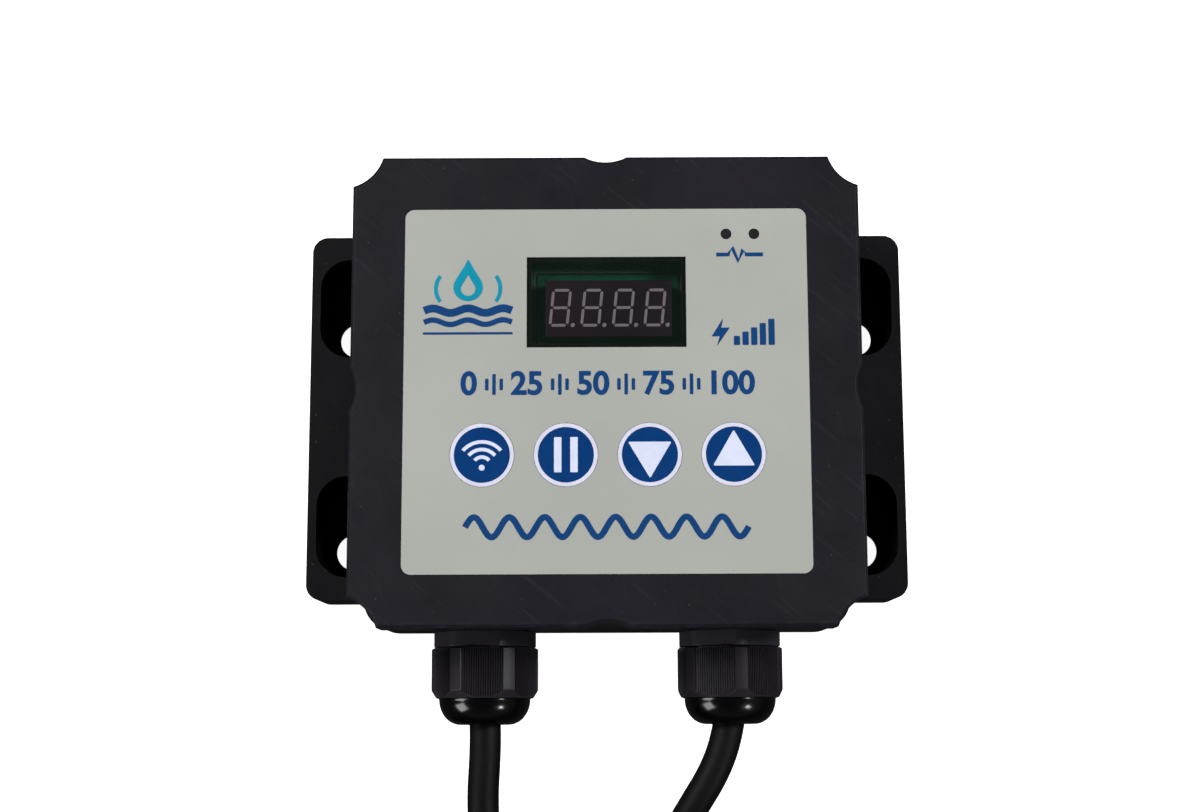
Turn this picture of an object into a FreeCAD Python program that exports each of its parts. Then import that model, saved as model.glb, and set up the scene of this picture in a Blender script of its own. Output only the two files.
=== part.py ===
"""Wall-mounted controller for a pond or aquarium pump, lying on its back.

The frame's origin is the middle of the flat back face. +Z points out of the
front of the box, +Y is the top of the front panel, and both cable glands look
along -Y. Lengths are millimetres.
"""
import math
import os

import FreeCAD
import Part

V = FreeCAD.Vector
doc = FreeCAD.newDocument("PumpController")

# ---------------------------------------------------------------- sizes
SIZES = {
    # box as a whole
    "boxDepth": 60.0, "coverWide": 121.0, "coverTall": 112.4, "coverDeep": 12.0,
    "coverFace": 2.6, "wall": 2.4, "edgeBevel": 0.7,
    "cornerOut": 3.0, "cornerCut": 10.5, "dipCut": 11.0, "dipDeep": 1.25,
    "tubWide": 117.8, "tubTall": 109.6, "tubTop": 47.0, "floorThick": 3.0,
    "baseWide": 123.0, "baseHigh": 18.0, "baseCorner": 7.5,
    "earWide": 152.6, "earTall": 94.4, "earCorner": 4.0,
    "gasketThick": 1.0,
    # wall-screw pockets in the ears
    "pocketWide": 15.2, "pocketLong": 25.8, "pocketOut": 74.0, "pocketUp": 28.35,
    "wallHole": 4.6, "wallHoleDrop": 5.3,
    # cover screws
    "pillarX": 50.0, "pillarY": 43.5, "pillarSize": 3.6, "pillarHole": 1.8,
    "screwHead": 3.0, "screwHeadThick": 2.0, "screwSize": 1.5, "screwLong": 54.0,
    # printed overlay on the front
    "labelWide": 95.6, "labelTall": 87.1, "labelCorner": 2.2, "labelDown": -0.4,
    "labelThick": 0.6, "labelSunk": 0.05,
    "windowWide": 37.8, "windowTall": 21.9, "windowX": 0.1, "windowY": 20.5,
    "statusX": 32.0, "statusY": 36.95, "statusPitch": 6.65, "statusSize": 1.3,
    # keys
    "keyPitch": 19.65, "keyX": 0.3, "keyY": -16.05, "keySize": 7.5, "keyGap": 0.08,
    "keyRim": 0.1,
    "keyThick": 0.7, "keyProud": 0.15, "keyWell": 7.9, "keyWellDeep": 1.5,
    "plungerSize": 1.75, "plungerLong": 4.6, "switchWide": 6.0, "switchHigh": 3.5,
    # front board
    "boardThick": 1.6, "boardDown": 7.4, "frontBoardWide": 88.0,
    "frontBoardTall": 80.0, "frontPostX": 40.0, "frontPostY": 34.0, "postSize": 3.0,
    "displayWide": 30.0, "displayTall": 13.7, "displayX": 0.6, "displayY": 19.2,
    "displayHigh": 6.2,
    # power board
    "standoffHigh": 5.0, "powerBoardWide": 92.0, "powerBoardTall": 94.0,
    "powerPostX": 42.0, "powerPostY": 34.4,
    # cable glands
    "glandX": 30.0, "glandZ": 30.0, "glandHole": 9.3, "shankSize": 9.2,
    "shankIn": 8.0, "washerThick": 1.0, "washerSize": 11.0, "bodyHex": 13.26,
    "bodyCorner": 12.4, "bodyLong": 3.9, "neckSize": 8.8, "neckLong": 8.6, "neckBore": 7.4,
    "bodyBore": 4.8, "nutHex": 13.86, "nutCorner": 13.05, "nutLong": 11.1,
    "nutGap": 0.12, "domeLong": 7.5, "domeSize": 11.35, "domeEnd": 5.9, "nutMouth": 4.75,
    "nutFlare": 0.5,
    "nutThread": 8.9, "locknutHex": 13.4, "locknutThick": 5.0,
    "clawSize": 7.1, "clawLong": 12.4, "clawBore": 5.35, "sealSize": 5.3,
    "sealBore": 3.95, "sealLong": 8.0,
    # power electronics
    "screwPilot": 1.1, "boardHead": 2.4, "boardHeadThick": 1.6, "boardShank": 1.05,
    "terminalX": 23.0, "terminalY": -38.0, "terminalWide": 24.0, "terminalDeep": 11.0,
    "terminalHigh": 14.0, "terminalPitch": 7.0, "terminalWell": 2.2,
    "fuseX": -23.0, "fuseY": -22.0, "fuseUp": 5.5, "fuseSize": 2.6, "fuseLong": 20.0,
    "clipPitch": 16.0, "clipWide": 4.0, "clipDeep": 8.0, "clipHigh": 7.0,
    "chokeX": -28.0, "chokeY": -5.5, "chokeRing": 8.0, "chokeThick": 4.0,
    "canX": -30.0, "canY": 26.0, "canPitch": 20.0, "canSize": 9.0, "canHigh": 28.0,
    "transformerX": -2.0, "transformerY": 32.0, "coreWide": 24.0, "coreDeep": 20.0,
    "coreHigh": 14.0, "bobbinWide": 18.0, "bobbinDeep": 26.0, "bobbinHigh": 17.0,
    "driveX": 22.0, "driveY": -12.0, "driveWide": 44.0, "driveDeep": 22.0,
    "driveHigh": 5.5, "sinkWide": 46.0, "sinkDeep": 26.0, "sinkPlate": 3.0,
    "finThick": 1.6, "finHigh": 18.0, "finPitch": 5.4,
    "linkX": 28.0, "linkY": 24.0, "linkWide": 22.0, "linkDeep": 6.0,
    "linkRibbonWide": 20.0, "linkRibbonHigh": 40.0,
    # leads
    "cordSize": 3.85, "coilMiddle": 38.0, "tieThick": 1.2, "tieWide": 6.0,
    "plugRelief": 20.0, "plugNeck": 5.0, "plugNeckSize": 9.3, "plugGrip": 20.0,
    "plugWide": 25.0, "plugHigh": 18.8, "plugCorner": 4.0,
    "bladeLong": 17.0, "bladeThick": 1.6, "bladeWide": 6.3, "bladeApart": 6.35,
    "bladeLow": -4.8, "earthLong": 19.0, "earthSize": 2.4, "earthUp": 4.8,
    "stemLong": 14.0, "barrelLong": 10.0, "barrelSize": 8.2, "noseLong": 18.0,
    "noseSize": 6.6, "socketSize": 5.2, "socketDeep": 8.0, "ringSize": 9.4,
    "ringLong": 16.0, "ringWeb": 2.5, "ringSlip": 0.15, "ringBore": 7.9,
    "contactSize": 1.0, "contactLong": 7.5, "contactRing": 2.6,
}
sheet = doc.addObject("Spreadsheet::Sheet", "params")
for row, (alias, value) in enumerate(SIZES.items(), start=1):
    sheet.set(f"A{row}", alias)
    sheet.set(f"B{row}", str(value))
    sheet.setAlias(f"B{row}", alias)
doc.recompute()
S = {alias: float(sheet.get(alias)) for alias in SIZES}

parts = []  # finished sub-parts, in build order


# ---------------------------------------------------------------- helpers
def size(text):
    """An expression over the sheet's aliases, from plain names such as wall*2."""
    out, word = "", ""
    for ch in text + " ":
        if ch.isalpha():
            word += ch
            continue
        out += f"params.{word}" if word in SIZES else word
        word = ""
        out += ch
    return out.strip()


def bind(obj, **props):
    for prop, text in props.items():
        obj.setExpression(prop.replace("_", "."), size(str(text)))
    return obj


def put(obj, x="0", y="0", z="0"):
    for axis, text in zip("xyz", (x, y, z)):
        obj.setExpression(f"Placement.Base.{axis}", size(str(text)))
    return obj


def box(name, wide, tall, high, x="0", y="0", z="0"):
    """A box centred on x and y that stands on z."""
    obj = bind(doc.addObject("Part::Box", name), Length=wide, Width=tall, Height=high)
    return put(obj, f"{x} - ({wide})/2", f"{y} - ({tall})/2", z)


def rod(name, radius, high, x="0", y="0", z="0", way=None):
    """A cylinder whose foot is at x, y, z and that runs along way."""
    obj = bind(doc.addObject("Part::Cylinder", name), Radius=radius, Height=high)
    if way:
        obj.Placement = FreeCAD.Placement(V(), FreeCAD.Rotation(V(0, 0, 1), V(*way)))
    return put(obj, x, y, z)


def cone(name, foot, top, high, x, y, z, way):
    obj = bind(doc.addObject("Part::Cone", name), Radius1=foot, Radius2=top, Height=high)
    obj.Placement = FreeCAD.Placement(V(), FreeCAD.Rotation(V(0, 0, 1), V(*way)))
    return put(obj, x, y, z)


def hexagon(name, radius, high, x, y, z, turn):
    """A hexagonal bar along -Y; turn is how far a flat is turned from facing +Z."""
    obj = doc.addObject("Part::Prism", name)
    obj.Polygon = 6
    bind(obj, Circumradius=radius, Height=high)
    lie = FreeCAD.Rotation(V(1, 0, 0), 90)
    obj.Placement = FreeCAD.Placement(V(), lie * FreeCAD.Rotation(V(0, 0, 1), turn))
    return put(obj, x, y, z)


def hexbar(name, radius, corner, high, x, y, z, turn):
    """A hexagonal bar whose corners are cut flat, corner from its middle."""
    obj = doc.addObject("Part::Common", name)
    obj.Base = hexagon(name + "Flats", radius, high, x, y, z, turn)
    obj.Tool = hexagon(name + "Corners", f"{corner}/cos(30)", high, x, y, z, turn + 30)
    return obj


def fuse(name, shapes):
    obj = doc.addObject("Part::MultiFuse", name)
    obj.Shapes = shapes
    return obj


def group(name, shapes):
    """Separate solids that share one node."""
    obj = doc.addObject("Part::Compound", name)
    obj.Links = shapes
    return obj


def cut(name, base, tools):
    obj = doc.addObject("Part::Cut", name)
    obj.Base = base
    obj.Tool = tools[0] if len(tools) == 1 else fuse(name + "Tools", tools)
    return obj


def edges_of(obj, keep):
    doc.recompute()
    return [i for i, edge in enumerate(obj.Shape.Edges, start=1) if keep(edge)]


def upright(edge):
    box_ = edge.BoundBox
    return box_.ZLength > 0.1 and box_.XLength < 1e-6 and box_.YLength < 1e-6


def rounded(name, base, radius, keep=upright):
    obj = doc.addObject("Part::Fillet", name)
    obj.Base = base
    obj.Edges = [(i, S[radius], S[radius]) for i in edges_of(base, keep)]
    return obj


def node(label, obj):
    obj.Label = label
    parts.append(obj)
    return obj


def shape_node(label, shape):
    obj = doc.addObject("Part::Feature", label)
    obj.Shape = shape
    return node(label, obj)


SIDES = (("Left", -1), ("Right", 1))
CORNERS = [(sx, sy) for sx in (-1, 1) for sy in (-1, 1)]


def corner_tools(name, extra, low, high):
    """Upright cylinders that scallop the four corners of the box."""
    return [
        rod(f"{name}{i}", f"cornerCut + {extra}", high,
            f"{sx}*(coverWide/2 + cornerOut)", f"{sy}*(coverTall/2 + cornerOut)", low)
        for i, (sx, sy) in enumerate(CORNERS)
    ]


# ---------------------------------------------------------------- front cover
FACE = "boxDepth"                                 # front face
COVER_LOW = "boxDepth - coverDeep"
PLATE_LOW = "boxDepth - coverFace"
BOARD_TOP = "boxDepth - boardDown"
LABEL_TOP = "boxDepth - labelSunk"
LABEL_LOW = "boxDepth - labelSunk - labelThick"
KEY_LOW = "boxDepth - labelSunk + keyProud - keyThick"


def key_x(i):
    return f"keyX + {i - 1.5}*keyPitch"


def front_cover():
    block = box("coverBlock", "coverWide", "coverTall", "coverDeep", z=COVER_LOW)
    dips = []
    for i, (sx, sy) in enumerate(((1, 0), (-1, 0), (0, 1), (0, -1))):
        away = "(coverWide/2 + dipCut - dipDeep)" if sx else "(coverTall/2 + dipCut - dipDeep)"
        dips.append(rod(f"dip{i}", "dipCut", "coverDeep", f"{sx}*{away}", f"{sy}*{away}",
                        COVER_LOW))
    outline = cut("coverOutline", block,
                  dips + corner_tools("coverCorner", "0", COVER_LOW, "coverDeep"))
    doc.recompute()
    bevel = doc.addObject("Part::Chamfer", "coverBevel")
    bevel.Base = outline
    rim = edges_of(outline, lambda e: e.BoundBox.ZMin > S["boxDepth"] - 0.01)
    bevel.Edges = [(i, S["edgeBevel"], S["edgeBevel"]) for i in rim]

    hollow_block = box("coverHollowBlock", "coverWide - 2*wall - 0.6",
                       "coverTall - 2*wall - 0.6", "coverDeep - coverFace", z=COVER_LOW)
    hollow = cut("coverHollow", hollow_block,
                 corner_tools("hollowCorner", "wall + 0.3", COVER_LOW, "coverDeep"))
    shell = cut("coverShell", bevel, [hollow])

    posts = []
    for i, (sx, sy) in enumerate(CORNERS):
        posts.append(rod(f"coverBoss{i}", "pillarSize", "coverDeep - coverFace + 0.1",
                         f"{sx}*pillarX", f"{sy}*pillarY", COVER_LOW))
        posts.append(rod(f"boardPost{i}", "postSize", "boardDown - coverFace + 0.1",
                         f"{sx}*frontPostX", f"{sy}*frontPostY", BOARD_TOP))
    solid = fuse("coverSolid", [shell] + posts)

    tools = [
        rounded("labelSeat", box("labelSeatBox", "labelWide + 0.2", "labelTall + 0.2",
                                 "2", y="labelDown", z=LABEL_LOW), "labelCorner"),
        box("displayOpening", "windowWide - 2", "windowTall - 2", "6", "windowX",
            "windowY", "boxDepth - 5"),
    ]
    for i in range(4):
        tools.append(rod(f"keyWell{i}", "keyWell", "keyWellDeep + 1", key_x(i), "keyY",
                         "boxDepth - keyWellDeep"))
        tools.append(rod(f"keyPass{i}", "plungerSize + 1", "6", key_x(i), "keyY",
                         "boxDepth - 5"))
    for i, side in enumerate((-1, 1)):
        tools.append(rod(f"statusPass{i}", "statusSize - 0.2", "6",
                         f"statusX + {side}*statusPitch/2", "statusY", "boxDepth - 5"))
    for i, (sx, sy) in enumerate(CORNERS):
        tools.append(rod(f"coverPilot{i}", "screwSize", "9.6", f"{sx}*pillarX",
                         f"{sy}*pillarY", COVER_LOW))
        tools.append(rod(f"boardPilot{i}", "screwPilot", "4", f"{sx}*frontPostX",
                         f"{sy}*frontPostY", BOARD_TOP))
    node("front_cover", cut("frontCover", solid, tools))


# ---------------------------------------------------------------- housing
def pocket(name, sx, sy):
    """One deep slot in an ear, round-ended, with its through hole at the low end."""
    x = f"{sx}*(pocketOut - pocketWide/2)"
    y = f"{sy}*pocketUp"
    half = "(pocketLong - pocketWide)/2"
    return [
        box(f"{name}Middle", "pocketWide", "pocketLong - pocketWide", "baseHigh", x, y,
            "floorThick"),
        rod(f"{name}High", "pocketWide/2", "baseHigh", x, f"{y} + {half}", "floorThick"),
        rod(f"{name}Low", "pocketWide/2", "baseHigh", x, f"{y} - {half}", "floorThick"),
        rod(f"{name}Hole", "wallHole", "floorThick + 2", x, f"{y} - wallHoleDrop", "-1"),
        cone(f"{name}Sink", "wallHole", "wallHole + 1.4", "1.41", x,
             f"{y} - wallHoleDrop", "floorThick - 1.4", (0, 0, 1)),
    ]


def rear_housing():
    tub = cut("tub", box("tubBlock", "tubWide", "tubTall", "tubTop"),
              corner_tools("tubCorner", "1.6", "-1", "tubTop + 2"))
    base = rounded("baseRound", box("baseBlock", "baseWide", "tubTall", "baseHigh"),
                   "baseCorner")
    ears = rounded("earsRound", box("earsBlock", "earWide", "earTall", "baseHigh"),
                   "earCorner")
    outside = fuse("housingOutside", [tub, base, ears])
    hollow = cut("housingHollow",
                 box("housingHollowBlock", "tubWide - 2*wall", "tubTall - 2*wall",
                     "tubTop", z="floorThick"),
                 corner_tools("housingHollowCorner", "1.6 + wall", "0", "tubTop + 4"))
    shell = cut("housingShell", outside, [hollow])
    posts = []
    for i, (sx, sy) in enumerate(CORNERS):
        posts.append(rod(f"pillar{i}", "pillarSize", "tubTop - 0.5", f"{sx}*pillarX",
                         f"{sy}*pillarY", "0.5"))
        posts.append(rod(f"standoff{i}", "postSize", "standoffHigh + floorThick - 0.5",
                         f"{sx}*powerPostX", f"{sy}*powerPostY", "0.5"))
    solid = fuse("housingSolid", [shell] + posts)
    tools = []
    for i, (sx, sy) in enumerate(CORNERS):
        tools += pocket(f"pocket{i}", sx, sy)
        tools.append(rod(f"pillarHole{i}", "pillarHole", "tubTop + 2", f"{sx}*pillarX",
                         f"{sy}*pillarY", "-1"))
        tools.append(rod(f"headHole{i}", "screwHead + 0.2", "screwHeadThick + 1.6",
                         f"{sx}*pillarX", f"{sy}*pillarY", "-1"))
        tools.append(rod(f"standoffHole{i}", "screwPilot", "6", f"{sx}*powerPostX",
                         f"{sy}*powerPostY", "floorThick"))
    for side, sx in SIDES:
        tools.append(rod(f"glandHole{side}", "glandHole", "12", f"{sx}*glandX",
                         "-tubTall/2 + 8", "glandZ", (0, -1, 0)))
    node("rear_housing", cut("rearHousing", solid, tools))

    ring = cut("gasketRing", box("gasketBlock", "tubWide", "tubTall", "gasketThick",
                                 z="tubTop"),
               corner_tools("gasketCorner", "1.6", "tubTop - 1", "4"))
    inner = cut("gasketInner", box("gasketInnerBlock", "tubWide - 2*wall",
                                   "tubTall - 2*wall", "4", z="tubTop - 1"),
                corner_tools("gasketInnerCorner", "1.6 + wall", "tubTop - 2", "6"))
    node("cover_gasket", cut("coverGasket", ring, [inner]))

    screws = []
    for i, (sx, sy) in enumerate(CORNERS):
        at = (f"{sx}*pillarX", f"{sy}*pillarY")
        screws.append(fuse(f"coverScrew{i}", [
            rod(f"coverScrewHead{i}", "screwHead", "screwHeadThick", *at, "0.6"),
            rod(f"coverScrewShank{i}", "screwSize", "screwLong", *at, "2"),
        ]))
    node("cover_screws", group("coverScrews", screws))


# ---------------------------------------------------------------- front panel
def front_panel():
    film = rounded("filmRound", box("filmBlock", "labelWide", "labelTall", "labelThick",
                                    y="labelDown", z=LABEL_LOW), "labelCorner")
    holes = [box("windowHole", "windowWide", "windowTall", "4", "windowX", "windowY",
                 "boxDepth - 2")]
    for i in range(4):
        holes.append(rod(f"filmKeyHole{i}", "keySize + keyGap", "4", key_x(i), "keyY",
                         "boxDepth - 2"))
    lenses, leds = [], []
    for i, side in enumerate((-1, 1)):
        at = (f"statusX + {side}*statusPitch/2", "statusY")
        holes.append(rod(f"statusHole{i}", "statusSize", "4", *at, "boxDepth - 2"))
        lenses.append(rod(f"statusLens{i}", "statusSize", "labelThick", *at, LABEL_LOW))
        leds.append(rod(f"statusLed{i}", "1", "4.2", *at, BOARD_TOP))
    node("label_overlay", cut("labelOverlay", film, holes))
    node("display_window", box("displayWindow", "windowWide", "windowTall", "labelThick",
                               "windowX", "windowY", LABEL_LOW))
    node("status_lenses", group("statusLenses", lenses))
    node("status_leds", group("statusLeds", leds))

    # keys: a patch of the overlay over the plunger of a switch
    bases = []
    for i, name in enumerate(("wifi", "pause", "down", "up")):
        disc = rod(f"keyDisc{name}", "keySize", "keyThick", key_x(i), "keyY", KEY_LOW)
        node(f"key_{name}", rounded_rim(f"keyPatch{name}", disc, S["keyRim"]))
        node(f"plunger_{name}", rod(f"plungerRod{name}", "plungerSize", "plungerLong",
                                    key_x(i), "keyY", f"{KEY_LOW} - plungerLong"))
        block = box(f"switchBlock{name}", "switchWide", "switchWide", "switchHigh",
                    key_x(i), "keyY", BOARD_TOP)
        bore = rod(f"switchBore{name}", "plungerSize + 0.1", "8", key_x(i), "keyY",
                   f"{BOARD_TOP} + 0.8")
        bases.append(cut(f"switch{name}", block, [bore]))
    node("key_switches", group("keySwitches", bases))

    board = box("frontBoardBlank", "frontBoardWide", "frontBoardTall", "boardThick",
                z=f"{BOARD_TOP} - boardThick")
    holes, screws = [], []
    for i, (sx, sy) in enumerate(CORNERS):
        at = (f"{sx}*frontPostX", f"{sy}*frontPostY")
        holes.append(rod(f"frontBoardHole{i}", "screwPilot", "4", *at, f"{BOARD_TOP} - 3"))
        screws.append(fuse(f"frontBoardScrew{i}", [
            rod(f"frontScrewHead{i}", "boardHead", "boardHeadThick", *at,
                f"{BOARD_TOP} - boardThick - boardHeadThick"),
            rod(f"frontScrewShank{i}", "boardShank", "5", *at,
                f"{BOARD_TOP} - boardThick - 0.1"),
        ]))
    node("control_board", cut("controlBoard", board, holes))
    node("control_board_screws", group("controlBoardScrews", screws))
    node("display_module", box("displayModule", "displayWide", "displayTall",
                               "displayHigh", "displayX", "displayY", BOARD_TOP))
    node("wifi_module", box("wifiModule", "18", "24", "3", "-30", "12", BOARD_TOP))


def rounded_rim(name, base, radius):
    obj = doc.addObject("Part::Fillet", name)
    obj.Base = base
    top = edges_of(base, lambda e: e.BoundBox.ZLength < 1e-6
                   and e.BoundBox.ZMin > base.Shape.BoundBox.ZMax - 0.01)
    obj.Edges = [(i, radius, radius) for i in top]
    return obj


# ---------------------------------------------------------------- power electronics
POWER_LOW = "floorThick + standoffHigh"
POWER_TOP = "floorThick + standoffHigh + boardThick"


def power_section():
    board = box("powerBoardBlank", "powerBoardWide", "powerBoardTall", "boardThick",
                z=POWER_LOW)
    holes, screws = [], []
    for i, (sx, sy) in enumerate(CORNERS):
        at = (f"{sx}*powerPostX", f"{sy}*powerPostY")
        holes.append(rod(f"powerBoardHole{i}", "screwPilot", "4", *at, f"{POWER_LOW} - 1"))
        screws.append(fuse(f"powerBoardScrew{i}", [
            rod(f"powerScrewHead{i}", "boardHead", "boardHeadThick", *at, POWER_TOP),
            rod(f"powerScrewShank{i}", "boardShank", "5.5", *at, f"{POWER_TOP} - 5.4"),
        ]))
    node("power_board", cut("powerBoard", board, holes))
    node("power_board_screws", group("powerBoardScrews", screws))

    for label, sx in (("mains_terminal", -1), ("output_terminal", 1)):
        x = f"{sx}*terminalX"
        block = box(label + "Block", "terminalWide", "terminalDeep", "terminalHigh", x,
                    "terminalY", POWER_TOP)
        wells = [rod(f"{label}Well{i}", "terminalWell", "4",
                     f"{x} + {i - 1}*terminalPitch", "terminalY",
                     f"{POWER_TOP} + terminalHigh - 3") for i in range(3)]
        node(label, cut(label + "Cut", block, wells))

    # fuse in its two clips
    middle = f"{POWER_TOP} + fuseUp"
    node("fuse", rod("fuseTube", "fuseSize", "fuseLong", "fuseX - fuseLong/2", "fuseY",
                     middle, (1, 0, 0)))
    clips = []
    for i, side in enumerate((-1, 1)):
        x = f"fuseX + {side}*clipPitch/2"
        clips.append(cut(f"fuseClip{i}", box(f"fuseClipBlock{i}", "clipWide", "clipDeep",
                                             "clipHigh", x, "fuseY", POWER_TOP),
                         [rod(f"fuseClipBore{i}", "fuseSize", "2*clipWide",
                              f"{x} - clipWide", "fuseY", middle, (1, 0, 0))]))
    node("fuse_clips", group("fuseClips", clips))

    choke = doc.addObject("Part::Torus", "lineChoke")
    bind(choke, Radius1="chokeRing", Radius2="chokeThick")
    put(choke, "chokeX", "chokeY", f"{POWER_TOP} + chokeThick")
    node("line_choke", choke)

    cans = [rod(f"bulkCapacitor{i}", "canSize", "canHigh", "canX",
                f"canY + {side}*canPitch/2", POWER_TOP) for i, side in enumerate((-1, 1))]
    node("bulk_capacitors", group("bulkCapacitors", cans))

    at = ("transformerX", "transformerY")
    node("transformer", fuse("transformerAll", [
        box("transformerCore", "coreWide", "coreDeep", "coreHigh", *at, f"{POWER_TOP} + 2"),
        box("transformerBobbin", "bobbinWide", "bobbinDeep", "bobbinHigh", *at, POWER_TOP),
    ]))
    node("rectifier", box("rectifierBlock", "22", "4.6", "18", "-4", "8", POWER_TOP))

    at = ("driveX", "driveY")
    node("drive_module", box("driveModule", "driveWide", "driveDeep", "driveHigh", *at,
                             POWER_TOP))
    plate = box("heatSinkPlate", "sinkWide", "sinkDeep", "sinkPlate", *at,
                f"{POWER_TOP} + driveHigh")
    fins = [box(f"fin{i}", "finThick", "sinkDeep", "finHigh", f"driveX + {i - 4}*finPitch",
                "driveY", f"{POWER_TOP} + driveHigh + sinkPlate - 0.1") for i in range(9)]
    node("heat_sink", fuse("heatSink", [plate] + fins))

    # flat cable between the two boards, with a plug at each end
    at = ("linkX", "linkY")
    node("board_link", fuse("boardLink", [
        box("linkLow", "linkWide", "linkDeep", "8", *at, POWER_TOP),
        box("linkRibbon", "linkRibbonWide", "1", "linkRibbonHigh", *at, f"{POWER_TOP} + 1"),
        box("linkHigh", "linkWide", "linkDeep", "6", *at, f"{BOARD_TOP} - boardThick - 6"),
    ]))


# ---------------------------------------------------------------- cable glands
DOWN = (0, -1, 0)
WASHER_Y = "-tubTall/2"
BODY_Y = "-tubTall/2 - washerThick"
NECK_Y = "-tubTall/2 - washerThick - bodyLong"
NUT_Y = "-tubTall/2 - washerThick - bodyLong - nutGap"


def gland(side, sx, body_turn, nut_turn):
    x, z = f"{sx}*glandX", "glandZ"
    name = side.lower()
    body = fuse(f"body{side}", [
        hexbar(f"bodyHex{side}", "bodyHex", "bodyCorner", "bodyLong", x, BODY_Y, z, body_turn),
        rod(f"shank{side}", "shankSize", "shankIn + washerThick + 0.1", x,
            "-tubTall/2 + shankIn", z, DOWN),
        rod(f"neck{side}", "neckSize", "neckLong + 0.1", x, f"{NECK_Y} + 0.1", z, DOWN),
    ])
    node(f"gland_body_{name}", cut(f"glandBody{side}", body, [
        rod(f"bodyBore{side}", "bodyBore", "40", x, "-tubTall/2 + 12", z, DOWN),
        rod(f"neckBore{side}", "neckBore", "neckLong + 4", x, f"{NECK_Y} + 1", z, DOWN),
    ]))
    node(f"gland_washer_{name}", cut(
        f"glandWasher{side}",
        rod(f"washerDisc{side}", "washerSize", "washerThick", x, WASHER_Y, z, DOWN),
        [rod(f"washerBore{side}", "shankSize", "4", x, f"{WASHER_Y} + 1", z, DOWN)]))
    node(f"gland_locknut_{name}", cut(
        f"glandLocknut{side}",
        hexagon(f"locknutHex{side}", "locknutHex", "locknutThick", x,
                "-tubTall/2 + wall + locknutThick", z, 0),
        [rod(f"locknutBore{side}", "shankSize", "12", x, "-tubTall/2 + 12", z, DOWN)]))

    # crown of clamping fingers, with the rubber sleeve inside it
    claw_y = f"{NECK_Y} - 0.6"
    straight = "clawLong - 3.6"
    crown = fuse(f"crown{side}", [
        rod(f"clawRod{side}", "clawSize", straight, x, claw_y, z, DOWN),
        cone(f"clawTip{side}", "clawSize", "clawSize - 1.2", "3.6", x,
             f"{claw_y} - ({straight})", z, DOWN),
    ])
    slots = []
    for i in range(3):
        slot = box(f"clawSlot{side}{i}", "30", "0.9", "8")
        slot.Placement = FreeCAD.Placement(
            V(), FreeCAD.Rotation(V(1, 0, 0), 90) * FreeCAD.Rotation(V(0, 0, 1), 60 * i))
        mid = math.radians(60 * i)
        dx, dz = 15 * math.cos(mid) - 0.45 * math.sin(mid), 15 * math.sin(mid) + 0.45 * math.cos(mid)
        put(slot, f"{x} - ({dx})", f"{claw_y} - clawLong + 8", f"{z} - ({dz})")
        slots.append(slot)
    node(f"gland_claw_{name}", cut(f"glandClaw{side}", crown, slots + [
        rod(f"clawBore{side}", "clawBore", "30", x, f"{claw_y} + 5", z, DOWN)]))
    node(f"gland_seal_{name}", cut(
        f"glandSeal{side}",
        rod(f"sealRod{side}", "sealSize", "sealLong", x, f"{claw_y} - 0.5", z, DOWN),
        [rod(f"sealBore{side}", "sealBore", "30", x, f"{claw_y} + 5", z, DOWN)]))

    # domed nut: hexagonal skirt, then a dome turned about the gland's axis
    y0 = -S["tubTall"] / 2 - S["washerThick"] - S["bodyLong"] - S["nutGap"]
    skirt = hexbar(f"nutHex{side}", "nutHex", "nutCorner", "nutLong + 1.2", x, NUT_Y, z,
                   nut_turn)
    y1, y2 = y0 - S["nutLong"], y0 - S["nutLong"] - S["domeLong"]
    r1, r2 = S["domeSize"], S["domeEnd"]
    turn = math.sqrt(0.5)
    arc = Part.Arc(V(r1, y1 - 0.8, 0),
                   V(r2 + (r1 - r2) * turn, y2 + (y1 - 0.8 - y2) * (1 - turn), 0), V(r2, y2, 0))
    pieces = [Part.LineSegment(V(0, y1 + 1, 0), V(r1, y1 + 1, 0)),
              Part.LineSegment(V(r1, y1 + 1, 0), V(r1, y1 - 0.8, 0)),
              arc, Part.LineSegment(V(r2, y2, 0), V(0, y2, 0)),
              Part.LineSegment(V(0, y2, 0), V(0, y1 + 1, 0))]
    face = Part.Face(Part.Wire([p.toShape() for p in pieces]))
    dome = doc.addObject("Part::Feature", f"nutDome{side}")
    dome.Shape = face.revolve(V(), V(0, 1, 0), 360)
    dome.Placement = FreeCAD.Placement(V(sx * S["glandX"], 0, S["glandZ"]), FreeCAD.Rotation())
    # cone that bevels the hexagon's far corners down to the dome
    bevel = doc.addObject("Part::Common", f"nutBevel{side}")
    bevel.Base = skirt
    bevel.Tool = fuse(f"nutBevelTool{side}", [
        rod(f"nutBevelRod{side}", "nutCorner + 0.2", "nutLong - 1", x, f"{NUT_Y} + 0.5", z,
            DOWN),
        cone(f"nutBevelCone{side}", "nutCorner + 0.2", "domeSize + 0.1", "2.9", x,
             f"{NUT_Y} - nutLong + 1.5", z, DOWN)])
    whole = fuse(f"nutWhole{side}", [bevel, dome])
    node(f"gland_nut_{name}", cut(f"glandNut{side}", whole, [
        rod(f"nutThread{side}", "nutThread", "neckLong + 1.2", x, f"{NUT_Y} + 1", z, DOWN),
        rod(f"nutRoom{side}", "clawSize + 0.3", "neckLong + 3.2", x, f"{NUT_Y} + 0.5", z, DOWN),
        cone(f"nutTaper{side}", "clawSize + 0.3", "nutMouth", "4.2", x,
             f"{NUT_Y} - neckLong - 2.7", z, DOWN),
        rod(f"nutMouth{side}", "nutMouth", "40", x, f"{NUT_Y} - 4", z, DOWN),
        cone(f"nutFlare{side}", "nutMouth", "nutMouth + nutFlare", "3.1", x,
             f"{NUT_Y} - nutLong - domeLong + 3", z, DOWN)]))


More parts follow.
